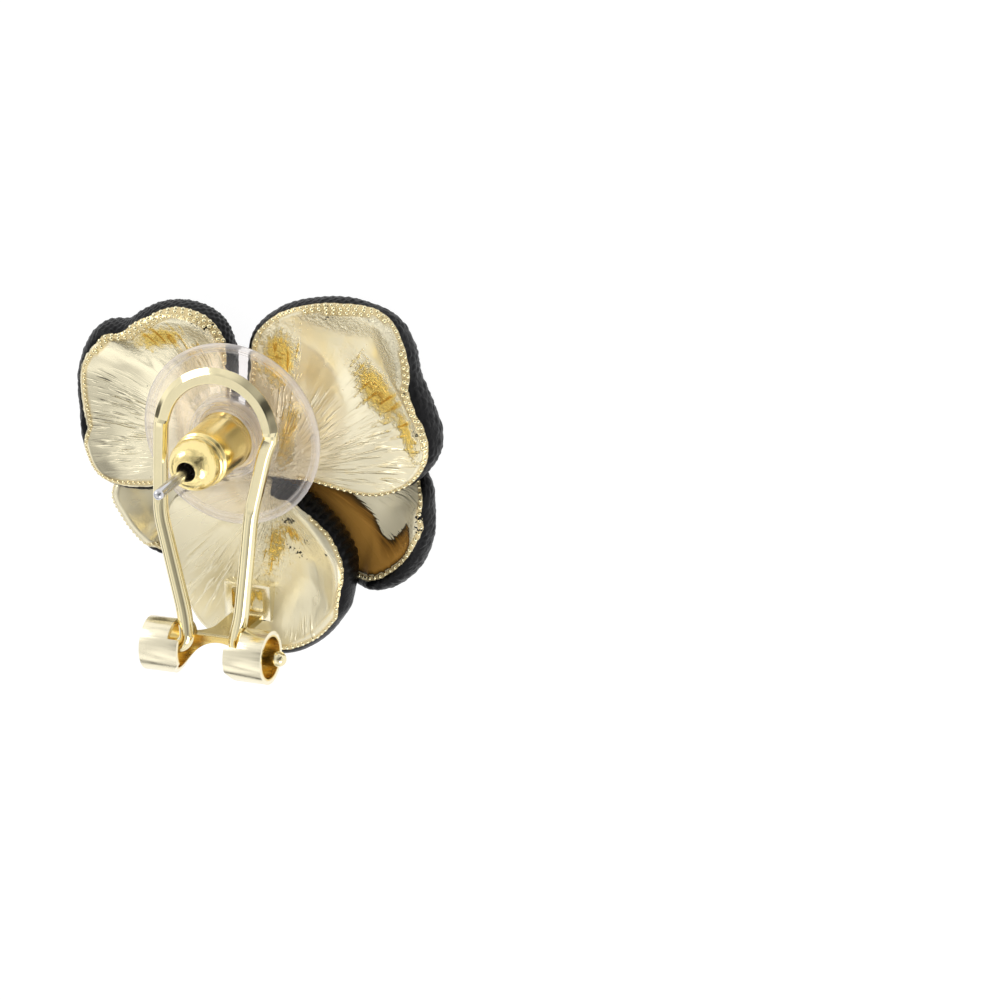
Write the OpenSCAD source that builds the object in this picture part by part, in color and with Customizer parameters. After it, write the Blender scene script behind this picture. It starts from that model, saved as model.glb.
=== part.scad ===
// Flower earring with a stud post, a padded push nut and a hinged wire clip.
// The flower lies face down: +Z runs along the post, away from the flower's back.
// The origin is the foot of the post, and the clip's hinge lies towards -Y.

/* [Flower] */
// Width of the flower from side to side
flower_w = 24; // [22:0.5:27]
// Width of a petal's rolled lip, as a share of its depth
lip_share = 0.55; // [0.45:0.05:0.65]
// Depth of the petals' rounded bellies below the flower's back
belly_depth = 3.9; // [3.6:0.1:4.5]
// Diameter of the stud at the middle of the flower's front
boss_d = 3; // [2.4:0.2:3.6]

/* [Post] */
// Diameter of the post
post_d = 0.7; // [0.6:0.05:0.8]
// Height of the post above the flower's back
post_h = 12.6; // [12:0.1:14]
// Diameter of the flat foot that is soldered to the petals
post_foot_d = 3.2; // [2.4:0.2:4]

/* [Push nut] */
// Diameter of the brass barrel
barrel_d = 3.6; // [3:0.1:4]
// Length of the brass barrel
barrel_h = 7; // [6:0.25:7.5]
// Diameter of the clear comfort pad
pad_d = 12; // [10:0.5:12.5]
// Height of the pad's underside above the flower's back
pad_z = 0.85; // [0.7:0.05:1]

/* [Clip] */
// Outer diameter of the hinge rolls
roll_d = 3.4; // [3:0.1:3.6]
// Length of one hinge roll
roll_len = 2.55; // [2:0.05:2.8]
// Clear distance between the two rolls
roll_gap = 3.2; // [3.1:0.1:3.6]
// Thickness of the stamped sheet
sheet_t = 0.35; // [0.3:0.05:0.4]
// Height of the hinge line above the flower's back
hinge_z = 5.5; // [5:0.1:6]
// Diameter of the loop's wire
wire_d = 0.96; // [0.8:0.02:1]
// Distance between the loop's arched end and the hinge line
loop_len = 18.1; // [17.7:0.1:18.5]

/* [Hidden] */

gold = "#d9cfae";
deep_gold = "#c9a544";
silver = "#c8c8cc";
clear = "#e4e6ee";
round_fn = 96;

// The petals. All of them meet at flower_mid, and their outlines are drawn for a flower 24 mm wide.
drawn_w = 24;
spread = flower_w / drawn_w;
flower_mid = [0, -2.5];
around = 44;          // steps round a petal
back_rings = 5;       // rings from the middle of the back to the lip
front_rings = 3;      // rings from the lip to the middle of the front
lip_turns = [0, 45, 90, 135, 180];
lip_start = -15;      // where the back surface runs into the lip
dish_power = 2.6;     // how late the back rises towards the lip
belly_flat = 0.35;    // share of the front that is flat
belly_power = 1.3;    // how fast the front drops away from the lip

// A petal is [middle, z of its dished floor, z of its belly, outline].
// Columns of an outline: angle round the middle, reach, z of the lip's crest, half the lip's depth
function middle_of(p) = p[0] * spread;
function floor_of(p) = p[1];
function belly_of(p) = p[2];
function outline_of(p) = p[3];

top_left = [[-5.3, 1.8], -1.0, -belly_depth, [
    [-160, 6.40, -0.10, 1.40],
    [-141, 7.40, -0.10, 1.30],
    [-126, 7.85, -0.10, 0.80],
    [-110, 7.70, -0.20, 0.65],
    [ -90, 6.90, -0.20, 0.65],
    [ -66, 6.35, -0.10, 0.65],
    [ -39, 6.70,  0.00, 0.65],
    [ -27, 5.56,  0.00, 0.65],
    [ -12, 5.00, -0.05, 0.65],
    [   6, 4.80, -0.20, 0.70],
    [  36, 5.45, -0.20, 1.00],
    [  52, 5.85, -0.10, 1.30],
    [  68, 5.75, -0.10, 1.40],
    [  90, 5.40, -0.10, 1.40],
    [ 112, 4.90, -0.10, 1.40],
    [ 128, 4.85, -0.10, 1.40],
    [ 144, 5.55, -0.10, 1.40],
    [ 170, 5.95, -0.10, 1.40]]];

top_right = [[7.2, 3.0], -1.0, -belly_depth, [
    [-142, 8.95,  0.00, 0.65],
    [-126, 7.70, -0.10, 0.65],
    [-113, 6.85, -0.20, 0.65],
    [ -95, 6.60, -0.20, 0.65],
    [ -75, 6.80, -0.20, 0.65],
    [ -58, 6.90, -0.10, 0.70],
    [ -46, 6.95, -0.10, 1.00],
    [ -30, 6.60, -0.10, 1.35],
    [  -8, 5.45, -0.10, 1.40],
    [  16, 4.65, -0.10, 1.40],
    [  40, 5.30, -0.10, 1.40],
    [  60, 5.90, -0.10, 1.20],
    [  80, 6.10, -0.10, 1.00],
    [ 110, 6.35, -0.10, 1.00],
    [ 135, 6.90, -0.10, 1.00],
    [ 153, 7.20, -0.10, 1.00],
    [ 168, 6.90, -0.20, 0.80],
    [ 183, 6.90, -0.20, 0.65],
    [ 199, 7.50, -0.05, 0.65]]];

low_left = [[-4.6, -5.8], -2.5, -belly_depth, [
    [-178, 5.00, -0.90, 1.10],
    [-159, 4.65, -0.90, 1.20],
    [-142, 4.40, -0.90, 1.20],
    [-125, 4.30, -0.90, 1.20],
    [-105, 4.30, -1.50, 0.80],
    [ -80, 4.00, -2.30, 0.50],
    [ -40, 3.80, -2.20, 0.50],
    [   0, 4.20, -2.00, 0.50],
    [  34, 5.10, -1.85, 0.50],
    [  58, 4.35, -2.30, 0.50],
    [  90, 3.45, -2.95, 0.45],
    [ 125, 3.55, -2.95, 0.45],
    [ 155, 4.35, -2.10, 0.60]]];

low_right = [[7.8, -5.6], -2.6, -belly_depth, [
    [-169, 5.00, -2.40, 0.50],
    [-130, 4.60, -2.40, 0.50],
    [-104, 4.90, -2.10, 0.60],
    [ -88, 5.00, -1.20, 1.10],
    [ -66, 4.80, -0.90, 1.30],
    [ -40, 4.50, -0.90, 1.30],
    [ -12, 4.30, -0.90, 1.30],
    [  12, 4.40, -1.00, 1.20],
    [  32, 4.90, -1.60, 0.70],
    [  52, 4.70, -2.60, 0.50],
    [  90, 4.00, -2.90, 0.45],
    [ 128, 4.95, -2.65, 0.45],
    [ 157, 7.90, -1.80, 0.50],
    [ 172, 6.40, -2.00, 0.50]]];

bottom = [[1.6, -9.0], -1.2, -2.0, [
    [-172, 6.90, -0.60, 0.40],
    [-152, 6.90, -0.60, 0.40],
    [-136, 7.00, -0.50, 0.45],
    [-118, 6.60, -0.10, 0.70],
    [ -98, 6.10,  0.20, 1.00],
    [ -78, 6.00,  0.30, 1.20],
    [ -58, 5.75,  0.50, 1.30],
    [ -36, 5.60,  0.70, 1.20],
    [ -24, 5.80,  0.80, 1.20],
    [ -12, 5.75,  0.80, 1.30],
    [   7, 5.75,  0.80, 1.40],
    [  34, 5.40,  0.80, 1.40],
    [  66, 5.35,  0.60, 1.20],
    [  86, 5.60,  0.20, 0.80],
    [ 104, 6.45,  0.00, 0.65],
    [ 122, 6.15, -0.20, 0.50],
    [ 141, 6.80, -0.45, 0.40],
    [ 154, 7.50, -0.60, 0.40],
    [ 168, 7.45, -0.60, 0.40]]];

// A smooth closed curve through the rows of an outline.
function wrap(a) = a - 360 * floor(a / 360);
function row_angle(rows, i) = rows[wrap_index(rows, i)][0] + 360 * floor(i / len(rows));
function wrap_index(rows, i) = i - len(rows) * floor(i / len(rows));
function row_value(rows, i, col) = rows[wrap_index(rows, i)][col];
function row_slope(rows, i, col) = (row_value(rows, i + 1, col) - row_value(rows, i - 1, col))
                                 / (row_angle(rows, i + 1) - row_angle(rows, i - 1));
function last_row_before(rows, turn) = max([for (i = [0:len(rows) - 1])
                                            if (rows[i][0] - rows[0][0] <= turn) i]);
function eased(p0, m0, p1, m1, h, t) = p0 * (2 * t^3 - 3 * t^2 + 1) + m0 * h * (t^3 - 2 * t^2 + t)
                                     + p1 * (3 * t^2 - 2 * t^3) + m1 * h * (t^3 - t^2);
function outline_at(rows, angle) =
    let (turn = wrap(angle - rows[0][0]),
         i = last_row_before(rows, turn),
         start = row_angle(rows, i) - rows[0][0],
         step = row_angle(rows, i + 1) - row_angle(rows, i),
         t = (turn - start) / step)
    [for (col = [1:3]) eased(row_value(rows, i, col), row_slope(rows, i, col),
                             row_value(rows, i + 1, col), row_slope(rows, i + 1, col), step, t)];

// The [radius, z] points of a petal's section at one angle, from the middle of its back,
// over the lip, to the middle of its front.
function section(p, angle) =
    let (o = outline_at(outline_of(p), angle),
         reach = o[0] * spread,
         crest = o[1],
         half = o[2],
         lip = half * lip_share,
         back_r = reach - lip + lip * sin(lip_start),
         back_z = crest - half + half * cos(lip_start),
         foot_z = crest - 2 * half)
    concat(
        [for (i = [1:back_rings]) let (s = i / back_rings)
            [back_r * s, floor_of(p) + (back_z - floor_of(p)) * s^dish_power]],
        [for (a = lip_turns) [reach - lip + lip * sin(a), crest - half + half * cos(a)]],
        [for (i = [front_rings:-1:1]) let (s = i / (front_rings + 1),
                                           rise = max(0, (s - belly_flat) / (1 - belly_flat)))
            [(reach - lip) * s, belly_of(p) + (foot_z - belly_of(p)) * rise^belly_power]]);

module petal(p) {
    rings = back_rings + len(lip_turns) + front_rings;
    middle = middle_of(p);
    sections = [for (k = [0:around - 1]) section(p, k * 360 / around)];
    points = concat(
        [for (j = [0:rings - 1]) for (k = [0:around - 1]) let (a = k * 360 / around, rz = sections[k][j])
            [middle[0] + rz[0] * cos(a), middle[1] + rz[0] * sin(a), rz[1]]],
        [[middle[0], middle[1], floor_of(p)], [middle[0], middle[1], belly_of(p)]]);
    back_pole = rings * around;
    front_pole = back_pole + 1;
    faces = concat(
        [for (k = [0:around - 1]) [back_pole, (k + 1) % around, k]],
        [for (j = [0:rings - 2]) for (k = [0:around - 1]) let (n = (k + 1) % around, b = j * around)
            each [[b + k, b + n, b + around + n], [b + k, b + around + n, b + around + k]]],
        [for (k = [0:around - 1]) let (b = (rings - 1) * around) [b + k, b + (k + 1) % around, front_pole]]);
    polyhedron(points, faces, convexity = 4);
}

module petal_top_left() { color(gold) petal(top_left); }
module petal_top_right() { color(gold) petal(top_right); }
module petal_low_left() { color(gold) petal(low_left); }
module petal_low_right() { color(gold) petal(low_right); }
module petal_bottom() { color(gold) petal(bottom); }

// A plain domed stud below the petals' roots, on the flower's front.
boss_top = -2.75;
boss_edge_z = -3.25;
boss_bottom = -belly_depth + 0.1;
module flower_center() {
    dome = boss_edge_z - boss_bottom;
    dome_r = ((boss_d / 2)^2 + dome^2) / (2 * dome);
    color(gold) translate([flower_mid[0] * spread, flower_mid[1] * spread, 0]) {
        translate([0, 0, boss_edge_z]) cylinder(h = boss_top - boss_edge_z, d1 = boss_d, d2 = 0.8, $fn = round_fn);
        intersection() {
            translate([0, 0, boss_bottom + dome_r]) sphere(r = dome_r, $fn = round_fn);
            translate([0, 0, boss_bottom]) cylinder(h = dome, d = boss_d, $fn = round_fn);
        }
    }
}

// The post stands on a flat foot and has a shallow catching groove and a rounded tip.
foot_z = 0.05;
foot_h = 0.4;
groove_h = 0.6;
groove_depth = 0.08;
groove_z = pad_z + 0.35 + barrel_h - 0.5;  // at the mouth of the nut
module post() {
    tip_r = post_d / 2;
    color(silver) rotate_extrude($fn = round_fn)
        polygon(concat(
            [[0, foot_z], [post_foot_d / 2, foot_z], [post_foot_d / 2, foot_z + foot_h],
             [tip_r, foot_z + foot_h], [tip_r, groove_z], [tip_r - groove_depth, groove_z + groove_h / 2],
             [tip_r, groove_z + groove_h]],
            [for (a = [0:15:90]) [tip_r * cos(a), post_h - tip_r + tip_r * sin(a)]]));
}

// The push nut: a turned brass barrel in the collar of a clear pad.
running_gap = 0.05;
flange_d = barrel_d + 0.7;
flange_h = 0.3;
neck_d = barrel_d - 0.35;
cap_d = barrel_d - 0.25;
cap_h = 1.7;
neck_h = 0.35;
mouth_d = 1.2;
mouth_h = 0.9;
barrel_z = pad_z + 0.35;
barrel_top = barrel_z + barrel_h;
module nut_barrel() {
    cap_z = barrel_top - cap_h;
    edge = 0.2;
    color(deep_gold) rotate_extrude($fn = round_fn)
        difference() {
            polygon(concat(
                [[0, barrel_z], [flange_d / 2, barrel_z], [flange_d / 2, barrel_z + flange_h],
                 [barrel_d / 2, barrel_z + flange_h], [barrel_d / 2, cap_z - neck_h - edge],
                 [neck_d / 2, cap_z - neck_h], [neck_d / 2, cap_z]],
                [for (a = [10:16:90]) [mouth_d / 2 + (cap_d - mouth_d) / 2 * cos(a - 10),
                                       cap_z + 0.1 + (cap_h - 0.1) * sin(a - 10) / sin(80)]],
                [[0, barrel_top]]));
            square([post_d / 2 + running_gap, barrel_top + 1]);
            translate([0, barrel_top - mouth_h]) square([mouth_d / 2, mouth_h + 1]);
        }
}

pad_rim = 0.45;
pad_web = 0.3;
collar_d = barrel_d + 1.5;
collar_h = 1.5;
module nut_pad() {
    fit = 0.06;
    color(clear) rotate_extrude($fn = round_fn)
        difference() {
            polygon([[0, pad_z], [pad_d / 2 - 0.2, pad_z], [pad_d / 2, pad_z + 0.2], [pad_d / 2, pad_z + pad_rim],
                     [pad_d / 2 - 0.35, pad_z + pad_rim], [pad_d / 2 - 0.7, pad_z + pad_web],
                     [collar_d / 2 + 0.7, pad_z + pad_web + 0.1], [collar_d / 2 + 0.35, pad_z + 0.8],
                     [collar_d / 2, pad_z + 0.85], [collar_d / 2 - 0.1, pad_z + collar_h],
                     [0, pad_z + collar_h]]);
            square([post_d / 2 + 0.25, pad_z + collar_h + 1]);
            translate([0, barrel_z - fit]) square([flange_d / 2 + fit, flange_h + 2 * fit]);
            translate([0, barrel_z - fit]) square([barrel_d / 2 + fit, collar_h + 1]);
        }
}

// The clip's base: a windowed plate on the bottom petal, a tongue that rises from the plate
// and a curl of the same sheet, cut into two rolls.
hinge_y = -12.9;
plate_w = 3.1;
plate_y0 = -12.93;
plate_y1 = -10.6;
plate_top = -0.25;
plate_foot = -1.3;    // deep enough to reach the petal all round
window_w = 2.1;
window_y0 = -12.4;
window_y1 = -10.9;
window_r = 0.25;
solder_gap = 0.05;
tongue_half = 1.05;
tongue_y = -12.58;
flare_r = 1.4;
roll_x = roll_gap / 2;
roll_r = roll_d / 2;
roll_end = roll_x + roll_len;
notch_r = 2.2;        // the round notch in the curl's far side
notch_y = -12.95;     // how far the notch reaches in
leg_swing = 40;       // degrees that the loop opens
loop_tilt = -8;       // slope of the closed loop, down towards the post
wire_r = wire_d / 2;
mouth_ends = [-1.82 - wire_r, 2.0 + wire_r];  // x of the cuts in the rolls, where the legs enter
mouth_room = asin(wire_r / (roll_r - sheet_t)) + 3;

// A slice of a disc between two angles, as a cutting tool
module slice(r, from, to) {
    steps = 8;
    polygon(concat([[0, 0]], [for (i = [0:steps]) let (a = from + (to - from) * i / steps) 2 * r * [cos(a), sin(a)]]));
}

// Turns a shape drawn in XY, with its angles from +Y towards +Z, onto the hinge line
module on_hinge(x) {
    translate([x, hinge_y, hinge_z]) rotate([90, 0, 90]) children();
}

module curl() {
    difference() {
        on_hinge(-roll_end) cylinder(h = 2 * roll_end, r = roll_r, $fn = round_fn);
        on_hinge(-roll_end - 0.5) cylinder(h = 2 * roll_end + 1, r = roll_r - sheet_t, $fn = round_fn);
        // Angles round the curl run from +Y towards +Z
        on_hinge(mouth_ends[0]) linear_extrude(mouth_ends[1] - mouth_ends[0])
            slice(roll_r, loop_tilt - mouth_room, loop_tilt + leg_swing + mouth_room);
        // The clear space between the rolls
        translate([-roll_x, hinge_y - 3, hinge_z - roll_r + 0.5]) cube([roll_gap, 6, 2 * roll_r]);
        translate([-roll_x, tongue_y, hinge_z - roll_r - 1]) cube([roll_gap, 4, 3]);
        translate([0, notch_y - notch_r, 0]) cylinder(h = 20, r = notch_r, $fn = round_fn);
    }
}

// The tongue's outline, which flares in two hollow curves into the curl
module tongue_outline() {
    top_z = hinge_z - roll_r + 0.15;
    flare_z = top_z - 0.4 - flare_r;
    foot_z = plate_top - 0.15;
    difference() {
        translate([-roll_end + 0.2, foot_z]) square([2 * roll_end - 0.4, top_z - foot_z]);
        for (side = [0, 1]) mirror([side, 0]) {
            translate([tongue_half + flare_r, flare_z]) circle(r = flare_r, $fn = round_fn);
            translate([tongue_half, plate_top - 1]) square([5, flare_z - plate_top + 1]);
            translate([tongue_half + flare_r, plate_top - 1]) square([5, flare_z + flare_r - plate_top + 1]);
        }
    }
}

// The plate with its window, on walls that follow the petal's back
module plate() {
    difference() {
        translate([-plate_w / 2, plate_y0, plate_foot])
            cube([plate_w, plate_y1 - plate_y0, plate_top - plate_foot]);
        translate([0, 0, plate_foot - 1]) linear_extrude(3) offset(r = window_r, $fn = round_fn)
            translate([-window_w / 2 + window_r, window_y0 + window_r])
                square([window_w - 2 * window_r, window_y1 - window_y0 - 2 * window_r]);
        translate([0, 0, solder_gap]) petal(bottom);
    }
}

module clip_base() {
    color(gold) {
        plate();
        translate([0, tongue_y, 0]) rotate([90, 0, 0]) linear_extrude(sheet_t) tongue_outline();
        curl();
    }
}

// The loop: a round wire bent to a long arch, with its feet turned out into the rolls.
// It is drawn flat, with the hinge line along X and the arch towards +Y.
foot_bend = 0.8;
foot_ends = [-roll_end + 0.3, roll_end + 1.05];  // x of the left foot's end and of the right foot's
arch_r = 3.75;
arch_v = loop_len - arch_r - wire_r;
flat_v = 14.3;        // where the coined flat of the arch begins
flat_run = 0.15;
flat_depth = 0.26;
flat_widening = 1.08;
wire_sides = 16;
arch_steps = 14;
leg_steps = 12;
bend_steps = 5;
// Columns: distance from the hinge along the loop, x of the leg's middle
left_leg = [[foot_bend, -1.60], [2.2, -1.82], [8.4, -3.62], [11.6, -3.72], [arch_v, -arch_r]];
right_leg = [[foot_bend, 1.70], [2.2, 2.05], [5.5, 2.30], [9.0, 2.54], [13.3, 3.44], [arch_v, arch_r]];

// A leg's table, rounded at its corners
function rounded(leg, v) = let (near = [for (d = [-0.6:0.3:0.6]) lookup(v + d, leg)]) near * [1, 1, 1, 1, 1] / 5;
function bend_end(side) = (side > 0 ? right_leg[0][1] : left_leg[0][1]) + side * foot_bend;
function bend_path(side) = [for (i = [0:bend_steps - 1]) let (a = 90 * i / bend_steps)
    [bend_end(side) - side * foot_bend * sin(a), foot_bend * (1 - cos(a))]];
function leg_path(leg) = [for (i = [0:leg_steps - 1]) let (v = foot_bend + (arch_v - foot_bend) * i / leg_steps)
    [rounded(leg, v), v]];
function arch_path() = [for (i = [0:arch_steps]) let (a = 180 * (1 - i / arch_steps))
    [arch_r * cos(a), arch_v + arch_r * sin(a)]];
function reversed(list) = [for (i = [len(list) - 1:-1:0]) list[i]];
function wire_path() = concat(bend_path(-1), leg_path(left_leg), arch_path(),
                              reversed(leg_path(right_leg)), reversed(bend_path(1)));

// The wire's points round one place of the path. The arch is pressed flat on its upper side.
function wire_ring(path, i) =
    let (last = len(path) - 1,
         along = path[min(i + 1, last)] - path[max(i - 1, 0)],
         out = [-along[1], along[0]] / norm(along),
         flat = min(1, max(0, (path[i][1] - flat_v) / flat_run)),
         top = wire_r - flat_depth * flat,
         wide = 1 + (flat_widening - 1) * flat)
    [for (k = [0:wire_sides - 1]) let (a = 360 * (k + 0.5) / wire_sides, across = wire_r * wide * cos(a))
        [path[i][0] + across * out[0], path[i][1] + across * out[1], min(top, wire_r * sin(a))]];

module wire() {
    path = wire_path();
    n = len(path);
    points = [for (i = [0:n - 1]) each wire_ring(path, i)];
    sides = [for (i = [0:n - 2]) for (k = [0:wire_sides - 1])
        let (next = (k + 1) % wire_sides, b = i * wire_sides, c = b + wire_sides)
        each [[b + k, c + k, c + next], [b + k, c + next, b + next]]];
    ends = [[for (k = [0:wire_sides - 1]) k], [for (k = [wire_sides - 1:-1:0]) (n - 1) * wire_sides + k]];
    polyhedron(points, concat(sides, ends), convexity = 6);
}

module foot(side) {
    length = abs(foot_ends[side > 0 ? 1 : 0] - bend_end(side));
    pin_r = wire_r + 0.01;
    translate([bend_end(side), 0, 0]) rotate([0, side * 90, 0]) {
        translate([0, 0, -0.05]) cylinder(h = length - pin_r + 0.05, r = pin_r, $fn = round_fn);
        translate([0, 0, length - pin_r]) intersection() {
            sphere(r = pin_r, $fn = round_fn);
            cylinder(h = pin_r, r = pin_r, $fn = round_fn);
        }
    }
}

module clip_loop() {
    color(gold) translate([0, hinge_y, hinge_z]) rotate([loop_tilt, 0, 0]) {
        wire();
        for (side = [-1, 1]) foot(side);
    }
}

petal_top_left();
petal_top_right();
petal_low_left();
petal_low_right();
petal_bottom();
flower_center();
post();
clip_base();
clip_loop();
nut_barrel();
nut_pad();
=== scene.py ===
from math import atan2, cos, pi, radians, sin

import bpy
import numpy as np
from mathutils import Matrix, Vector, noise


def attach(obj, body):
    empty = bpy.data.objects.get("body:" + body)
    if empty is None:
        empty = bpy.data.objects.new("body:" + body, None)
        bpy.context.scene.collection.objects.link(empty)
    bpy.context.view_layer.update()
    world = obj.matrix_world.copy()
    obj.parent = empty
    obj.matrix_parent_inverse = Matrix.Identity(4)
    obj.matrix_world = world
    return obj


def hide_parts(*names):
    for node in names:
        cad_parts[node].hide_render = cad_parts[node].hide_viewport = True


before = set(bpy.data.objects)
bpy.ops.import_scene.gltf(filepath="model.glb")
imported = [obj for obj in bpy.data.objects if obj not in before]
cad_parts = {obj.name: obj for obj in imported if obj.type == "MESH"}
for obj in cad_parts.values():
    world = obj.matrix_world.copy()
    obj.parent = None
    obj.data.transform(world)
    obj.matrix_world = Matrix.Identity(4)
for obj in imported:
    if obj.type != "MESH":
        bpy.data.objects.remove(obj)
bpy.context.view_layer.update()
millimetre = 0.001  # pieces are shaped in millimetres and shrunk to metres at the end


def dropSelection():
    bpy.ops.object.select_all(action="DESELECT")


def pick(piece):
    dropSelection()
    piece.select_set(True)
    bpy.context.view_layer.objects.active = piece


def leaveEdit():
    bpy.ops.object.mode_set(mode="OBJECT")


def editAll():
    bpy.ops.object.mode_set(mode="EDIT")
    bpy.ops.mesh.select_all(action="SELECT")


def linear(hexColor):
    channels = [int(hexColor[i:i + 2], 16) / 255 for i in (1, 3, 5)]
    return tuple(c / 12.92 if c <= 0.04045 else ((c + 0.055) / 1.055) ** 2.4 for c in channels) + (1,)


def setInputs(node, inputs):
    for socket, value in inputs.items():
        if isinstance(value, bpy.types.NodeSocket):
            node.id_data.links.new(value, node.inputs[socket])
        else:
            node.inputs[socket].default_value = value


def addNode(tree, kind, inputs=None, output=0, **settings):
    # Inputs are values or outputs of other nodes, and one output of the new node comes back
    node = tree.nodes.new("ShaderNode" + kind)
    for name, value in settings.items():
        setattr(node, name, value)
    setInputs(node, inputs or {})
    return node.outputs[output] if node.outputs else node


asColor = {"output": 2, "data_type": "RGBA"}  # for a Mix node


def fillRamp(ramp, stops):
    for spot, color in stops[1:-1]:
        ramp.elements.new(spot)
    for element, (spot, color) in zip(ramp.elements, stops):
        element.position = spot
        element.color = color


def startMaterial(name):
    material = bpy.data.materials.new(name)
    material.use_nodes = True
    tree = material.node_tree
    return material, tree, tree.nodes["Principled BSDF"], addNode(tree, "TexCoord", output="Object")


def bendGrid(name, points, attributes=None):
    # A flat grid is bent into a closed skin: its columns run round, its rows from pole to pole
    dropSelection()
    rows, columns = points.shape[0] - 1, points.shape[1] - 1
    bpy.ops.mesh.primitive_grid_add(x_subdivisions=columns, y_subdivisions=rows, size=2)
    skin = bpy.context.object
    skin.name = name
    flat = np.empty(len(skin.data.vertices) * 3)
    skin.data.vertices.foreach_get("co", flat)
    flat = flat.reshape(-1, 3)
    column = np.rint((flat[:, 0] + 1) / 2 * columns).astype(int)
    row = np.rint((flat[:, 1] + 1) / 2 * rows).astype(int)
    skin.data.vertices.foreach_set("co", points[row, column].ravel())
    for label, values in (attributes or {}).items():
        kind, field = ("FLOAT_VECTOR", "vector") if values.ndim == 3 else ("FLOAT", "value")
        layer = skin.data.attributes.new(label, kind, "POINT")
        layer.data.foreach_set(field, values[row, column].ravel())
    closeSkin(skin)
    return skin


def closeSkin(skin, gap=0.0002):
    pick(skin)
    editAll()
    bpy.ops.mesh.remove_doubles(threshold=gap)
    bpy.ops.mesh.normals_make_consistent(inside=False)
    leaveEdit()


def turn(name, profile, bevel, steps=128):
    # A profile of radius and z is drawn from one vertex and spun round the post
    dropSelection()
    bpy.ops.mesh.primitive_plane_add(size=0.1)
    piece = bpy.context.object
    piece.name = name
    editAll()
    bpy.ops.mesh.merge(type="CENTER")
    bpy.ops.transform.translate(value=(profile[0][0], 0, profile[0][1]))
    for before, here in zip(profile, profile[1:]):
        bpy.ops.mesh.extrude_region_move(
            TRANSFORM_OT_translate={"value": (here[0] - before[0], 0, here[1] - before[1])})
    bpy.ops.mesh.select_all(action="SELECT")
    bpy.ops.mesh.spin(steps=steps, angle=2 * pi, center=(0, 0, 0), axis=(0, 0, 1))
    leaveEdit()
    closeSkin(piece)
    soften(piece, bevel)
    return piece


def soften(piece, width, angle=28, segments=3):
    pick(piece)
    edges = piece.modifiers.new("edges", "BEVEL")
    edges.width = width
    edges.segments = segments
    edges.limit_method = "ANGLE"
    edges.angle_limit = radians(angle)
    bpy.ops.object.modifier_apply(modifier="edges")


def carve(piece, tool, operation="DIFFERENCE"):
    pick(piece)
    cut = piece.modifiers.new("cut", "BOOLEAN")
    cut.operation = operation
    cut.solver = "EXACT"
    cut.object = tool
    bpy.ops.object.modifier_apply(modifier="cut")
    bpy.data.objects.remove(tool)


def block(low, high):
    dropSelection()
    middle = [(a + b) / 2 for a, b in zip(low, high)]
    bpy.ops.mesh.primitive_cube_add(size=1, location=middle, scale=[b - a for a, b in zip(low, high)])
    return bpy.context.object


def rod(radius, start, end, vertices):
    dropSelection()
    start, end = Vector(start), Vector(end)
    way = end - start
    bpy.ops.mesh.primitive_cylinder_add(radius=radius, depth=way.length, vertices=vertices,
                                        location=(start + end) / 2,
                                        rotation=way.to_track_quat("Z", "Y").to_euler())
    return bpy.context.object


def settle(piece, material, body, node=None, smoothAngle=None):
    pick(piece)
    bpy.ops.object.transform_apply()
    piece.scale = (millimetre, millimetre, millimetre)
    bpy.ops.object.transform_apply(location=False, rotation=False)
    if smoothAngle:
        bpy.ops.object.shade_smooth_by_angle(angle=radians(smoothAngle))
    else:
        bpy.ops.object.shade_smooth()
    piece.data.materials.append(material)
    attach(piece, body)
    if node:
        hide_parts(node)


# The camera looks steeply down on the flower's back
view = {
    "right": (0.914, -0.030, -0.405),
    "up": (-0.122, 0.932, -0.342),
    "aim": (0, 0, 1.1),  # mm, seen at these pixels of a frame 1000 wide
    "aimPixel": (232.4, 433.5),
    "pixelsPerMm": 16,
    "lens": 1500,
    "frameWidth": 1000,
}


def placeCamera():
    right = Vector(view["right"]).normalized()
    toward = right.cross(Vector(view["up"])).normalized()
    up = toward.cross(right)
    half = view["frameWidth"] / 2
    across = (half - view["aimPixel"][0]) / view["pixelsPerMm"]
    rise = (view["aimPixel"][1] - half) / view["pixelsPerMm"]
    width = view["frameWidth"] / view["pixelsPerMm"]
    dropSelection()
    bpy.ops.object.camera_add()
    camera = bpy.context.object
    camera.data.lens = view["lens"]
    camera.data.sensor_width = 36
    camera.data.clip_start = 0.01
    camera.data.clip_end = 10
    away = width * view["lens"] / 36
    spot = Vector(view["aim"]) + right * across + up * rise + toward * away
    facing = Matrix((right, up, toward)).transposed().to_4x4()
    camera.matrix_world = Matrix.Translation(spot * millimetre) @ facing
    bpy.context.scene.camera = camera


placeCamera()
print("camera placed")


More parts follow.
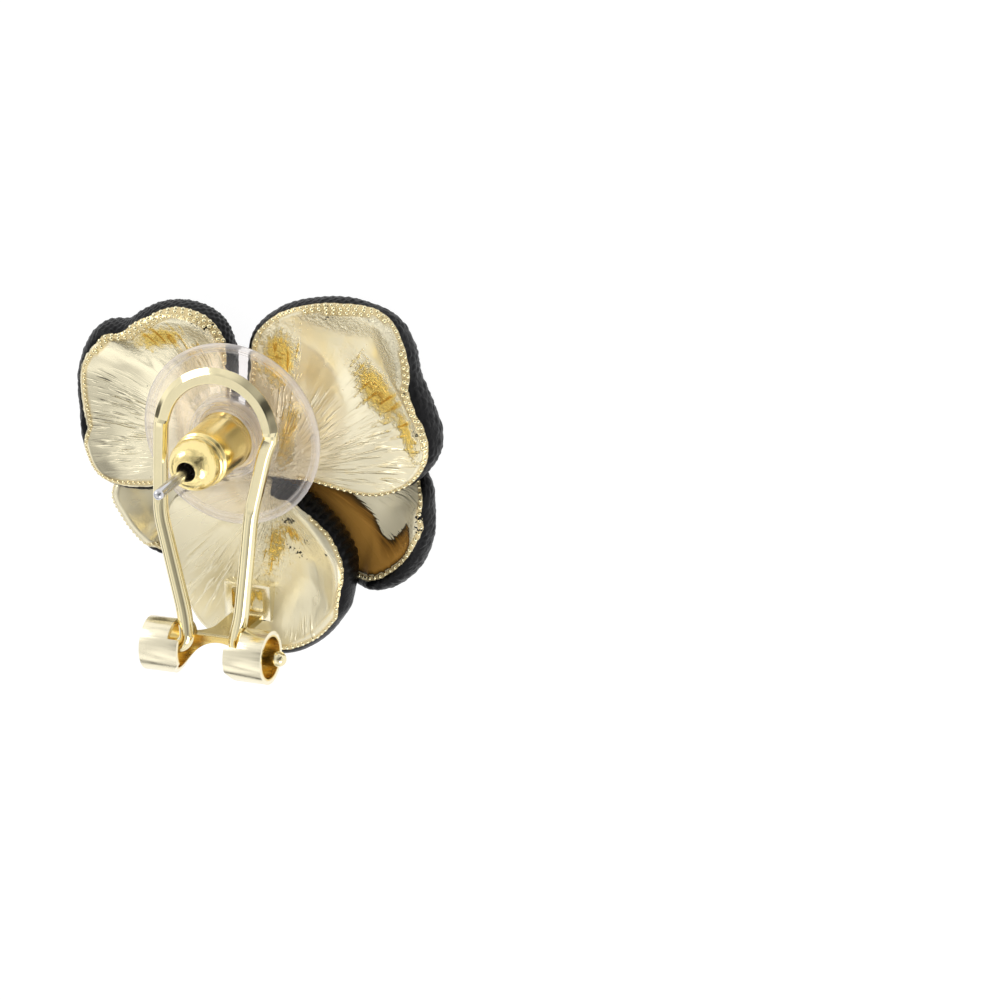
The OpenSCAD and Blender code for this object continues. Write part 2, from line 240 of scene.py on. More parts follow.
# Every petal, in millimetres and degrees:
# middle, floor, belly: the dish's middle, z of its floor there, lowest z of the front
# outline: angle round the middle, reach, z of the lip's crest, half the lip's depth
# root: where the strokes run to; bare: the turn that a neighbour hides, where no enamel is
# rim: angle, pebbles, bead rows and cross ribs of the enamelled rim
# paint: angle, distance from the lip's crest to the line where the enamel begins
# beads: distance from the enamel, first and last angle, radius
# the patches of painted reflection in deep gold, streaks, crumple: x, y, half length, half width, turn,
# strength; specks: x, y, size, strength
# satin: share of a satin finish; calm: share of the unevenness; bowl: x, y of the line above its shade
petalDetail = {
    "columns": 560,
    "backRings": 34,
    "ringSpread": 1.25,  # above 1 sets the rings closer near the lip
    "lipSteps": 40,
    "frontRings": 12,
    "lipShare": 0.55,   # width of the lip for half its depth
    "lipStart": -15,
    "dishPower": 2.6,
    "bellyFlat": 0.35,
    "bellyPower": 1.3,
    "wave": 0.05,
    "waveLength": 3.6,
    "waveFade": (-1.2, -0.3),
    "reliefFrom": (0.1, 0.3),   # the relief fades in and out at these distances from the enamel's line
    "reliefTo": (3.2, 4.2),
    "pebble": 0.55,
    "pebbleHeight": 0.12,
    "ribPitch": 0.52,
    "ribHeight": 0.15,
    "rowPitch": 0.62,
    "rowHeight": 0.05,
    "strokeFan": 9,
    "rootCrumple": (1.2, 3.2, 0.8),  # nearest, farthest, strength
    "beadPitch": 2.875,  # in radii
    "beadSink": 0.045,
    "beadUneven": 0.18,
    "beadHalo": 0.12,
    "bareShift": 1.2,
    "bowlGap": 0.35,
}

petals = {
    "petalTopLeft": {
        "node": "petal_top_left", "middle": (-5.3, 1.8), "floor": -1.0, "belly": -3.9, "seed": 1.3,
        "outline": [
            (-160, 6.55, -0.1, 1.4), (-141, 7.55, -0.1, 1.3), (-126, 8.05, -0.1, 0.8),
            (-110, 7.6, -0.2, 0.65), (-90, 6.7, -0.2, 0.65), (-66, 6.3, -0.1, 0.65),
            (-39, 6.7, 0.0, 0.65), (-27, 5.56, 0.0, 0.65), (-12, 5.0, -0.05, 0.65), (6, 4.8, -0.2, 0.7),
            (36, 5.55, -0.2, 1.0), (52, 5.85, -0.1, 1.3), (68, 5.75, -0.1, 1.4), (90, 5.4, -0.1, 1.4),
            (112, 4.95, -0.1, 1.4), (128, 4.8, -0.1, 1.4), (144, 5.75, -0.1, 1.4),
            (170, 6.1, -0.1, 1.4)],
        "root": (0.2, -2.2), "bare": (-62, -22),
        "rim": [(-180, 0.8, 0, 0), (-60, 0.6, 0, 0), (20, 0.7, 0.2, 0), (45, 0.3, 1, 0), (140, 0.3, 1, 0),
                (160, 0.8, 0.2, 0)],
        "paint": [(-180, 0.2), (-160, 0.05), (-148, -0.2), (-140, 0.5), (-128, 0.45), (-108, 0),
                  (-60, 0.15), (0, 0.4), (10, 0.4), (25, 0.05), (42, 0.75), (60, 1.15), (80, 1.1),
                  (100, 0.45), (120, 0.55), (150, 0), (170, 0.3)],
        "beads": [(-0.13, 26, 150, 0.17), (-0.27, 152, 296, 0.12), (-0.42, 42, 160, 0.17),
                  (-0.72, 55, 125, 0.13)],
        "deep": [(-5.6, 5.1, 1.9, 0.8, 20, 1.15), (-3.4, 4.5, 1.1, 0.6, 30, 0.7)],
        "streaks": [(-8.2, -1.2, 1.8, 2.6, 0, 1.0), (-3.8, 4.2, 1.6, 1.4, 30, 0.8),
                    (-9.6, 1.6, 1.4, 0.8, 20, 0.6)],
        "crumple": [(-2.3, 6.2, 1.2, 0.9, 0, 1.0), (-5.6, 5.2, 2.0, 0.9, 20, 0.5)],
        "specks": [(-2.1, 6.4, 0.45, 1.0), (-1.5, 6.0, 0.4, 1.0), (-2.9, 6.6, 0.4, 0.8)],
    },
    "petalTopRight": {
        "node": "petal_top_right", "middle": (7.2, 3.0), "floor": -1.0, "belly": -3.9, "seed": 7.9,
        "outline": [
            (-142, 8.95, 0.0, 0.65), (-126, 7.7, -0.1, 0.65), (-113, 6.85, -0.2, 0.65),
            (-95, 6.65, -0.2, 0.65), (-75, 6.92, -0.2, 0.65), (-58, 7.0, -0.1, 0.7),
            (-46, 7.05, -0.1, 1.0), (-30, 6.75, -0.1, 1.35), (-8, 5.38, -0.1, 1.4),
            (16, 4.72, -0.1, 1.4), (40, 5.33, -0.1, 1.4), (60, 6.0, -0.1, 1.2), (80, 6.1, -0.1, 1.0),
            (110, 6.27, -0.1, 1.0), (135, 6.85, -0.1, 1.0), (153, 7.2, -0.1, 1.0), (168, 6.9, -0.2, 0.8),
            (183, 6.9, -0.2, 0.65), (199, 7.5, -0.05, 0.65)],
        "root": (2.0, -2.8), "bare": (204, 236), "satin": 0.3,
        "rim": [(-180, 0.5, 0.4, 0), (-110, 0.5, 0, 0), (-40, 1, 0, 0), (60, 1, 0.1, 0), (85, 0.4, 0.7, 0),
                (150, 0.4, 0.7, 0)],
        "paint": [(-180, 0.05), (-120, 0.15), (-60, 0.4), (-45, 0.5), (-15, 0.5), (-8, 0.3), (10, 0.45),
                  (20, 0.9), (70, 1.2), (90, 0.6), (110, 0.55), (140, 0.35), (170, 0)],
        "beads": [(-0.16, -120, 150, 0.15), (-0.25, 152, 200, 0.13), (-0.42, 60, 118, 0.17),
                  (-0.42, -30, 42, 0.15), (-0.72, 70, 104, 0.15)],
        "deep": [(2.6, 4.7, 2.0, 1.1, 80, 1.2), (2.9, -0.4, 2.6, 0.8, 80, 0.9),
                 (9.2, 3.3, 2.1, 1.2, -55, 1.25), (11.2, 0.9, 1.9, 0.6, -70, 1.05)],
        "streaks": [(8.0, -1.0, 4.0, 2.4, -5, 1.0), (4.6, 0.5, 2.0, 2.6, 40, 0.8),
                    (8.8, 2.2, 2.0, 1.2, -50, 0.6)],
        "crumple": [(2.4, 5.2, 1.8, 1.0, 75, 1.0), (10.8, 5.8, 2.4, 0.6, -68, 1.7),
                    (9.4, 3.4, 2.0, 0.8, -50, 1.0), (6.6, 8.2, 2.0, 0.7, -10, 1.3),
                    (1.4, 6.4, 1.8, 0.6, 60, 1.0)],
        "specks": [(12.0, 0.95, 0.3, 1.2), (6.2, 8.0, 0.35, 1.0), (5.4, 8.4, 0.3, 1.0),
                   (11.3, 3.6, 0.3, 0.9)],
    },
    "petalLowLeft": {
        "node": "petal_low_left", "middle": (-4.6, -5.8), "floor": -2.5, "belly": -3.9, "seed": 3.1,
        "outline": [
            (-178, 5.1, -0.9, 1.1), (-159, 4.88, -0.9, 1.2), (-142, 4.7, -0.9, 1.2),
            (-125, 4.6, -0.9, 1.2), (-105, 4.5, -1.5, 0.8), (-80, 4.0, -2.3, 0.5), (-40, 3.8, -2.2, 0.5),
            (0, 4.2, -2.0, 0.5), (34, 5.1, -1.85, 0.5), (58, 4.35, -2.3, 0.5), (90, 3.45, -2.95, 0.45),
            (125, 3.55, -2.95, 0.45), (155, 4.35, -2.1, 0.6)],
        "root": (0.0, -2.6), "bare": (-60, 140),
        "rim": [(0, 0.6, 0, 0)],
        "paint": [(-180, 0.75), (-130, 0.75), (-120, 0), (-114, 0), (-106, 0.5)],
        "beads": [(-0.3, 150, 285, 0.11)],
        "specks": [(-6.5, -8.5, 0.3, 0.6)], "satin": 0.5,
    },
    "petalLowRight": {
        "node": "petal_low_right", "middle": (7.8, -5.6), "floor": -2.6, "belly": -3.9, "seed": 5.7,
        "outline": [
            (-169, 5.0, -2.4, 0.5), (-130, 4.8, -2.4, 0.5), (-104, 5.05, -2.1, 0.6),
            (-88, 5.0, -1.2, 1.1), (-66, 4.8, -0.9, 1.3), (-40, 4.5, -0.9, 1.3), (-12, 4.3, -0.9, 1.3),
            (12, 4.4, -1.0, 1.2), (32, 4.9, -1.6, 0.7), (52, 4.7, -2.6, 0.5), (90, 4.0, -2.9, 0.45),
            (128, 4.95, -2.65, 0.45), (157, 7.9, -1.8, 0.5), (172, 6.4, -2.0, 0.5)],
        "root": (2.2, -2.8), "bare": (60, 250),
        "rim": [(0, 0.9, 0, 0)],
        "paint": [(-180, 0), (-80, -0.3), (-60, -0.35), (-20, 0.1), (0, 0.6), (20, 0.25), (30, -0.05),
                  (60, 0.1)],
        "beads": [(-0.18, -112, 52, 0.15)],
        "streaks": [(9.5, -3.0, 2.6, 1.6, -30, 1.0)],
        "crumple": [(10.9, -6.3, 1.6, 0.5, 60, 0.9)],
        "specks": [(11.7, -4.9, 0.5, 1.4), (11.6, -5.7, 0.4, 1.2)],
        "satin": 1,
        "bowl": [(3.5, -3.2), (5.6, -3.9), (6.4, -4.25), (7.7, -5.4), (8.5, -6.75), (9.0, -6.95),
                 (9.4, -6.8), (10.0, -6.1), (10.5, -5.4), (10.8, -5.9), (11.0, -7.0), (11.2, -8.5)],
    },
    "petalBottom": {
        "node": "petal_bottom", "middle": (1.6, -9.0), "floor": -1.2, "belly": -2.0, "seed": 9.2,
        "calm": 0.3,
        "outline": [
            (-172, 6.9, -0.6, 0.4), (-152, 6.9, -0.6, 0.4), (-136, 7.0, -0.5, 0.45),
            (-118, 6.6, -0.1, 0.7), (-98, 6.1, 0.2, 1.0), (-78, 6.1, 0.3, 1.2), (-58, 5.88, 0.5, 1.3),
            (-36, 5.75, 0.7, 1.2), (-24, 5.85, 0.8, 1.2), (-12, 5.75, 0.8, 1.3), (7, 5.75, 0.8, 1.4),
            (34, 5.4, 0.8, 1.4), (66, 5.35, 0.6, 1.2), (86, 5.6, 0.2, 0.8), (104, 6.45, 0.0, 0.65),
            (122, 6.15, -0.2, 0.5), (141, 6.8, -0.45, 0.4), (154, 7.5, -0.6, 0.4),
            (168, 7.45, -0.6, 0.4)],
        "root": (2.2, -3.6), "bare": (84, 168), "satin": 0.6,
        "rim": [(-180, 0.3, 0, 0), (-60, 0.35, 0, 0), (-2, 0.4, 0, 0), (12, 0.3, 0, 1), (80, 0.3, 0, 1)],
        "paint": [(-180, 0.2), (-130, 0.4), (-110, 0.35), (-92, 0.1), (-80, 0.1), (-50, 0.55), (-30, 0.6),
                  (-22, 0.3), (-10, 0.35), (0, 0.55), (30, 0.8), (70, 0.3), (84, -0.5), (100, 0.15),
                  (130, 0.2)],
        "beads": [(-0.12, -130, 50, 0.14)],
        # the last two patches of painted reflection here are painted shade in the clip plate's window
        "deep": [(1.7, -8.2, 2.6, 0.9, 70, 0.85), (3.0, -6.9, 1.3, 0.6, -30, 0.8),
                 (-0.4, -11.9, 0.9, 0.5, 60, 1.4), (0.6, -11.6, 0.5, 0.4, 0, 1.2)],
        "streaks": [(1.8, -6.8, 2.6, 1.2, 65, 1.0), (-3.0, -10.6, 2.4, 1.8, 70, 0.55),
                    (4.4, -13.2, 1.6, 1.0, 0, 0.6)],
        "crumple": [(1.7, -7.6, 2.8, 1.2, 65, 1.0), (3.6, -7.0, 2.0, 1.2, -30, 0.4)],
        "specks": [(3.0, -6.0, 0.4, 1.3), (2.6, -6.2, 0.35, 1.2), (3.4, -5.8, 0.25, 1.5),
                   (2.7, -8.2, 0.4, 1.1), (3.4, -8.4, 0.4, 1.0), (4.1, -7.3, 0.45, 0.9),
                   (5.95, -7.5, 0.13, 2.2)],
    },
}


def smoothStep(low, high, x):
    t = np.clip((x - low) / (high - low), 0, 1)
    return t * t * (3 - 2 * t)


def outlineAt(rows, angles):
    # A smooth closed curve through the rows, as the solid petals have it
    rows = np.array(rows, float)
    start = rows[:, 0] - rows[0, 0]
    lap = (angles - rows[0, 0]) % 360
    i = np.searchsorted(start, lap, side="right") - 1

    def rowAt(k):
        laps, k = np.divmod(k, len(rows))
        found = rows[k]
        found[:, 0] += 360 * laps
        return found

    before, here, after, beyond = [rowAt(i + k) for k in (-1, 0, 1, 2)]
    step = (after - here)[:, :1]
    slopeHere = (after - before)[:, 1:] / (after - before)[:, :1]
    slopeAfter = (beyond - here)[:, 1:] / (beyond - here)[:, :1]
    t = (lap - start[i])[:, None] / step
    values = (here[:, 1:] * (2 * t ** 3 - 3 * t ** 2 + 1) + slopeHere * step * (t ** 3 - 2 * t ** 2 + t)
              + after[:, 1:] * (3 * t ** 2 - 2 * t ** 3) + slopeAfter * step * (t ** 3 - t ** 2))
    return values.T


def aroundTable(rows, angles, column):
    rows = np.array(rows, float)
    return np.interp(angles, rows[:, 0], rows[:, column], period=360)


def insideTurn(angles, span):
    # 1 between two angles, fading over a few degrees
    middle, half = (span[0] + span[1]) / 2, (span[1] - span[0]) / 2
    off = np.abs((angles - middle + 180) % 360 - 180)
    return 1 - smoothStep(half - 3, half + 3, off)


def patch(x, y, spots):
    total = np.zeros_like(x)
    for spotX, spotY, length, width, turnBy, strength in spots:
        c, s = cos(radians(turnBy)), sin(radians(turnBy))
        along = ((x - spotX) * c + (y - spotY) * s) / length
        across = ((y - spotY) * c - (x - spotX) * s) / width
        total = np.maximum(total, strength * np.exp(-(along ** 2 + across ** 2) * 0.9))
    return total


def lengthAlong(line):
    steps = np.linalg.norm(np.diff(line, axis=0), axis=1)
    return np.concatenate([[0], np.cumsum(steps)])


def petalForm(petal, angles):
    # The plain skin, and how far each point is from the line where the enamel begins
    d = petalDetail
    reach, crest, half = outlineAt(petal["outline"], angles)
    lip = half * d["lipShare"]
    start = radians(d["lipStart"])
    backReach = reach - lip * (1 - sin(start))
    backHeight = crest - half * (1 - cos(start))
    s = 1 - (1 - np.linspace(0, 1, d["backRings"] + 1)[:, None]) ** d["ringSpread"]
    a = np.linspace(d["lipStart"], 180, d["lipSteps"] + 1)[1:, None]
    f = np.linspace(1, 0, d["frontRings"] + 1)[1:, None]
    rise = np.clip((f - d["bellyFlat"]) / (1 - d["bellyFlat"]), 0, None) ** d["bellyPower"]
    radius = np.vstack([
        backReach * s,
        reach - lip + lip * np.sin(np.radians(a)),
        (reach - lip) * f])
    height = np.vstack([
        petal["floor"] + (backHeight - petal["floor"]) * s ** d["dishPower"],
        crest - half + half * np.cos(np.radians(a)),
        petal["belly"] + (crest - 2 * half - petal["belly"]) * rise])
    x = petal["middle"][0] + radius * np.cos(np.radians(angles))
    y = petal["middle"][1] + radius * np.sin(np.radians(angles))

    steps = np.hypot(np.diff(radius, axis=0), np.diff(height, axis=0))
    arc = np.vstack([np.zeros(len(angles)), np.cumsum(steps, axis=0)])
    crestRow = d["backRings"] - d["lipStart"] / (180 - d["lipStart"]) * d["lipSteps"]
    low = int(crestRow)
    share = crestRow - low
    edge = arc - arc[low] * (1 - share) - arc[low + 1] * share - aroundTable(petal["paint"], angles, 1)
    return x, y, height, edge


def handWorked(petal, x, y, edge):
    # The back is not quite even
    d = petalDetail
    wave = np.zeros_like(x)
    onBack = 1 - smoothStep(*d["waveFade"], edge)
    for row in range(d["backRings"] + 1):
        for k in range(d["columns"] + 1):
            at = Vector((x[row, k], y[row, k], petal["seed"])) / d["waveLength"]
            wave[row, k] = noise.noise(at) + 0.35 * noise.noise(at * 2.3)
    wave[:, -1] = wave[:, 0]
    return wave * onBack * d["wave"] * petal.get("calm", 1)


def rimRelief(petal, angles, points, edge, bare):
    # Pebbles, rows of beads and cross ribs under the enamel
    d = petalDetail
    length = lengthAlong(points[d["backRings"] + 6])
    total = length[-1]
    ribs = np.cos(2 * np.pi * length / total * round(total / d["ribPitch"]))
    band = smoothStep(*d["reliefFrom"], edge) * (1 - smoothStep(*d["reliefTo"], edge))
    relief = np.zeros_like(edge)
    pebbleShare, beadShare, ribShare = [aroundTable(petal["rim"], angles, k) for k in (1, 2, 3)]
    rows, columns = np.nonzero(band > 0.01)
    for row, k in zip(rows, columns):
        near = noise.voronoi(Vector(points[row, k]) / d["pebble"])[0]
        relief[row, k] = min(near[1] - near[0], 0.6) - 0.25
    relief = relief * pebbleShare * d["pebbleHeight"]
    rowWave = np.cos(2 * np.pi * edge / d["rowPitch"])
    relief += beadShare * d["rowHeight"] * ribs * rowWave
    relief += ribShare * d["ribHeight"] * np.sqrt(np.abs(ribs + 1) / 2)
    relief = relief * band * (1 - 0.7 * bare)
    relief[:, -1] = relief[:, 0]
    return relief


def petalMarks(petal, angles, x, y, height, edge, bare):
    # What the plating looks up at every point
    d = petalDetail
    root = petal["root"]
    middle = atan2(petal["middle"][1] - root[1], petal["middle"][0] - root[0])
    spread = (np.arctan2(y - root[1], x - root[0]) - middle + np.pi) % (2 * np.pi) - np.pi
    away = np.hypot(x - root[0], y - root[1])
    rays = np.stack([spread * d["strokeFan"], away, height], axis=2)
    nearest, farthest, strength = d["rootCrumple"]
    rootCrumple = strength * (1 - smoothStep(nearest, farthest, away))
    lipEnd = d["backRings"] + d["lipSteps"]
    front = smoothStep(lipEnd - 8, lipEnd, np.arange(len(x)))
    specks = np.zeros_like(x)
    for spotX, spotY, size, strength in petal["specks"]:
        specks = np.maximum(specks, strength * np.exp(-((x - spotX) ** 2 + (y - spotY) ** 2) / size ** 2))
    # where the painted shade among the beads goes
    beadShadeMask = np.zeros_like(x)
    for offset, first, last, radius in petal["beads"]:
        near = 1 - smoothStep(radius, radius + d["beadHalo"], np.abs(edge - offset))
        beadShadeMask = np.maximum(beadShadeMask, near * insideTurn(angles, (first, last)))
    bowl = np.full_like(x, -9)  # depth inside the shaded bowl, which ends short of the enamel
    if "bowl" in petal:
        line = np.array(petal["bowl"])
        bowl = np.minimum(np.interp(x, line[:, 0], line[:, 1]) - y, (-edge - d["bowlGap"]) * 4)
    shown = np.where(bare > 0.02, edge - d["bareShift"] * bare, edge)
    edge = np.where(front[:, None] > 0, np.maximum(edge, 1), shown)
    return {
        "edge": edge,
        "rays": rays,
        "deep": patch(x, y, petal.get("deep", [])),
        "streaks": patch(x, y, petal.get("streaks", [])),
        "crumple": np.maximum(patch(x, y, petal.get("crumple", [])), rootCrumple),
        "specks": specks,
        "beadShadeMask": beadShadeMask,
        "bowl": bowl,
        "satin": np.full_like(x, petal.get("satin", 0)),
    }


def petalSurface(petal):
    angles = np.linspace(0, 360, petalDetail["columns"] + 1)
    x, y, height, edge = petalForm(petal, angles)
    height = height + handWorked(petal, x, y, edge)
    points = np.stack([x, y, height], axis=2)
    normals = skinNormals(points)
    bare = insideTurn(angles, petal["bare"])
    relief = rimRelief(petal, angles, points, edge, bare)
    points = points + normals * relief[:, :, None]
    return points, normals, petalMarks(petal, angles, x, y, height, edge, bare)


def skinNormals(points):
    down = np.gradient(points, axis=0)
    closed = points[:, :-1]
    along = np.roll(closed, -1, axis=1) - np.roll(closed, 1, axis=1)
    along = np.concatenate([along, along[:, :1]], axis=1)
    normals = np.cross(down, along)
    size = np.linalg.norm(normals, axis=2, keepdims=True)
    normals = normals / np.maximum(size, 1e-9)
    normals[0] = (0, 0, 1)
    normals[-1] = (0, 0, -1)
    return normals


def beadMaster():
    # One grain of the beaded edge: the upper part of a small ball
    dropSelection()
    bpy.ops.mesh.primitive_ico_sphere_add(subdivisions=2, radius=1)
    bead = bpy.context.object
    editAll()
    bpy.ops.mesh.bisect(plane_co=(0, 0, -0.35), plane_no=(0, 0, 1), clear_inner=True)
    leaveEdit()
    return bead


def beadRows(name, petal, points, normals, edge, bead):
    d = petalDetail
    copies = []
    rowIndex = np.arange(points.shape[0])
    for offset, first, last, radius in petal["beads"]:
        spots, tops = [], []
        for degrees in np.arange(first, last, 0.5):
            k = int(round(degrees % 360 / 360 * d["columns"]))
            row = np.interp(offset, edge[:, k], rowIndex)
            low = int(row)
            share = row - low
            spots.append(points[low, k] * (1 - share) + points[low + 1, k] * share)
            tops.append(normals[low, k])
        spots, tops = np.array(spots), np.array(tops)
        length = lengthAlong(spots)
        count = max(2, int(length[-1] / (d["beadPitch"] * radius)))
        for i in range(count):
            at = (i + 0.5) / count * length[-1]
            spot = Vector([np.interp(at, length, spots[:, c]) for c in range(3)])
            top = Vector([np.interp(at, length, tops[:, c]) for c in range(3)]).normalized()
            size = radius * (1 + d["beadUneven"] * noise.noise(spot * 3.7))
            copy = bead.copy()
            copy.data = bead.data.copy()
            bpy.context.collection.objects.link(copy)
            tilt = top.to_track_quat("Z", "Y").to_matrix().to_4x4()
            foot = Matrix.Translation(spot - top * d["beadSink"])
            copy.matrix_world = foot @ tilt @ Matrix.Scale(size, 4)
            copies.append(copy)
    pick(copies[0])
    for copy in copies:
        copy.select_set(True)
    bpy.ops.object.join()
    chain = bpy.context.object
    chain.name = name
    return chain


platingLook = {
    "gold": "#F2E9CA",
    # painted shade among the beads
    "shadeAmongBeads": "#CDB06A",
    "enamel": "#060608",
    # how often the marks come across and along the way to the petal's root, and their detail
    "strokes": ((3.4, 0.42, 0), 1),     # 0.2 mm wide and some 1.3 mm long
    "hairs": ((8.5, 0.4, 2), 2),
    "broad": ((0.9, 0.2, 1), 1),
    # noises: scale for a metre, detail, roughness
    "swell": (300, 1, 0.5),             # 3 mm
    "unsteady": (2600, 2, 0.5),
    "rough": (3200, 4, 0.65),           # crumples of 0.3 mm
    "splash": (5500, 2, 0.5),
    "grain": (7000, 2, 0.5),            # 0.15 mm
    # painted reflection tints, deep gold where the plating would mirror itself: color, how much the crumples
    # and the strokes fray them, where they begin and are full
    "paintedReflectionTints": [("#F2D478", 1.2, 0.3, 1.05, 1.5), ("#D09E38", 1.6, 0.6, 1.9, 2.3)],
    # painted shade and dark reflection in the bowl, from its line inwards: share of 1.4 mm, color
    "bowl": [(0, "#FFFFFF"), (0.07, "#33291A"), (0.22, "#5E4826"), (0.5, "#A67B3E"), (1, "#D0A05A")],
    "enamelRoughness": 0.36,
    "enamelSpecular": 0.16,
}


def palePlating():
    # Pale gold plating on a zinc casting that was worked with a graver, its rim dipped in black
    # enamel: a bright soft mirror with short strokes that run to the petal's root, and a satin rim
    look = platingLook
    material, tree, shader, place = startMaterial("palePlatingWithBlackEnamel")
    rays = addNode(tree, "Attribute", output="Vector", attribute_name="rays")
    edge, deep, streaks, crumple, specks, beadShadeMask, bowl, satin = [
        addNode(tree, "Attribute", output="Fac", attribute_name=name)
        for name in ("edge", "deep", "streaks", "crumple", "specks", "beadShadeMask", "bowl", "satin")]
    marks = []
    for scale, detail in (look["strokes"], look["hairs"], look["broad"]):
        at = addNode(tree, "VectorMath", {0: rays, 1: scale}, operation="MULTIPLY")
        marks.append(addNode(tree, "TexNoise", {"Vector": at, "Scale": 1, "Detail": detail}))
    strokes = addNode(tree, "MapRange", {0: marks[0], 1: 0.54, 2: 0.68})
    hairs = addNode(tree, "MapRange", {0: marks[1], 1: 0.56, 2: 0.74})
    broad = marks[2]
    swell, unsteady, rough, splash, grain = [
        addNode(tree, "TexNoise", {"Vector": place, "Scale": scale, "Detail": detail, "Roughness": fray})
        for scale, detail, fray in (look["swell"], look["unsteady"], look["rough"], look["splash"],
                                    look["grain"])]

    # enamel where the distance from its line, unsteady by 0.1 mm, is past 0, and on the specks
    shifted = addNode(tree, "Math", {0: unsteady, 1: 0.22, 2: edge}, operation="MULTIPLY_ADD")
    dipped = addNode(tree, "MapRange", {0: shifted, 1: 0.09, 2: 0.13})
    splashed = addNode(tree, "Math", {0: specks, 1: 0.25, 2: splash}, operation="MULTIPLY_ADD")
    spotted = addNode(tree, "MapRange", {0: splashed, 1: 0.76, 2: 0.79})
    enamel = addNode(tree, "Math", {0: dipped, 1: spotted}, operation="MAXIMUM")

    # painted reflection and shade: deep gold patches where the plating would mirror itself and its dark
    # surroundings
    gold = linear(look["gold"])
    paintedReflectionTints = []
    for shade, byRough, byStrokes, begins, full in look["paintedReflectionTints"]:
        frayed = addNode(tree, "Math", {0: rough, 1: byRough, 2: deep}, operation="MULTIPLY_ADD")
        frayed = addNode(tree, "Math", {0: strokes, 1: byStrokes, 2: frayed}, operation="MULTIPLY_ADD")
        paintedReflectionTints.append(addNode(tree, "MapRange", {0: frayed, 1: begins, 2: full}))
        gold = addNode(tree, "Mix", {0: paintedReflectionTints[-1], 6: gold, 7: linear(shade)}, **asColor)
    # painted shade: darker gold round the bead rows, as the crevices between the beads would be in shade
    shadeAmongBeads = addNode(tree, "Math", {0: beadShadeMask, 1: 0.6}, operation="MULTIPLY")
    gold = addNode(tree, "Mix", {0: shadeAmongBeads, 6: gold, 7: linear(look["shadeAmongBeads"])}, **asColor)

    # painted shade and dark reflection in the bowl: a ragged dark border that clears to brown within a
    # millimetre
    furred = addNode(tree, "Math", {0: strokes, 1: 0.35, 2: bowl}, operation="MULTIPLY_ADD")
    furred = addNode(tree, "Math", {0: hairs, 1: 0.5, 2: furred}, operation="MULTIPLY_ADD")
    inBowl = addNode(tree, "MapRange", {0: furred, 1: 0.2, 2: 1.6})
    shade = addNode(tree, "ValToRGB", {0: inBowl})
    fillRamp(shade.node.color_ramp, [(spot, linear(color)) for spot, color in look["bowl"]])
    gold = addNode(tree, "Mix", {0: 1, 6: gold, 7: shade}, **asColor, blend_type="MULTIPLY")
    color = addNode(tree, "Mix", {0: enamel, 6: gold, 7: linear(look["enamel"])}, **asColor)

    # satin parts scatter more and mirror less, and the painted reflection tints stay bright
    outsidePaintedReflection = addNode(tree, "Math", {0: 1, 1: paintedReflectionTints[0]}, operation="SUBTRACT")
    satin = addNode(tree, "Math", {0: satin, 1: outsidePaintedReflection}, operation="MULTIPLY")
    plated = addNode(tree, "MapRange", {0: satin, 1: 0, 2: 1, 3: 0.95, 4: 0.25})
    dulled = addNode(tree, "MapRange", {0: furred, 1: 0.2, 2: 0.4, 4: 0.2})
    plated = addNode(tree, "Math", {0: plated, 1: dulled}, operation="SUBTRACT")
    undipped = addNode(tree, "Math", {0: 1, 1: enamel}, operation="SUBTRACT")
    metal = addNode(tree, "Math", {0: undipped, 1: plated}, operation="MULTIPLY")
    gloss = addNode(tree, "MapRange", {0: broad, 1: 0.3, 2: 0.7, 3: 0.11, 4: 0.2})
    gloss = addNode(tree, "Math", {0: satin, 1: 0.15, 2: gloss}, operation="MULTIPLY_ADD")
    roughness = addNode(tree, "Mix", {0: enamel, 2: gloss, 3: look["enamelRoughness"]})

    calm = addNode(tree, "MapRange", {0: satin, 1: 0, 2: 0.3, 3: 1, 4: 0.2})
    faint = addNode(tree, "MapRange", {0: streaks, 1: 0.1, 2: 0.8, 3: 0.04})
    cut = addNode(tree, "MapRange", {0: streaks, 1: 0.15, 2: 0.7})
    relief = [
        # height, share, metres, strength
        (swell, calm, 0.0003, 0.6),
        (broad, 1, 0.00008, 0.6),
        (hairs, faint, 0.00003, 1),
        (strokes, cut, 0.00008, 1),
        (rough, crumple, 0.0004, 1)]
    under = {}
    for height, share, metres, strength in relief:
        height = addNode(tree, "Math", {0: height, 1: share}, operation="MULTIPLY")
        normal = addNode(tree, "Bump", {"Height": height, "Distance": metres, "Strength": strength, **under})
        under = {"Normal": normal}
    pitted = addNode(tree, "Bump", {"Height": grain, "Distance": 0.00003, "Strength": 1})
    normal = addNode(tree, "Mix", {0: enamel, 4: normal, 5: pitted}, output=1, data_type="VECTOR")
    setInputs(shader, {"Base Color": color, "Metallic": metal, "Roughness": roughness, "Normal": normal,
                       "Specular IOR Level": look["enamelSpecular"]})
    return material


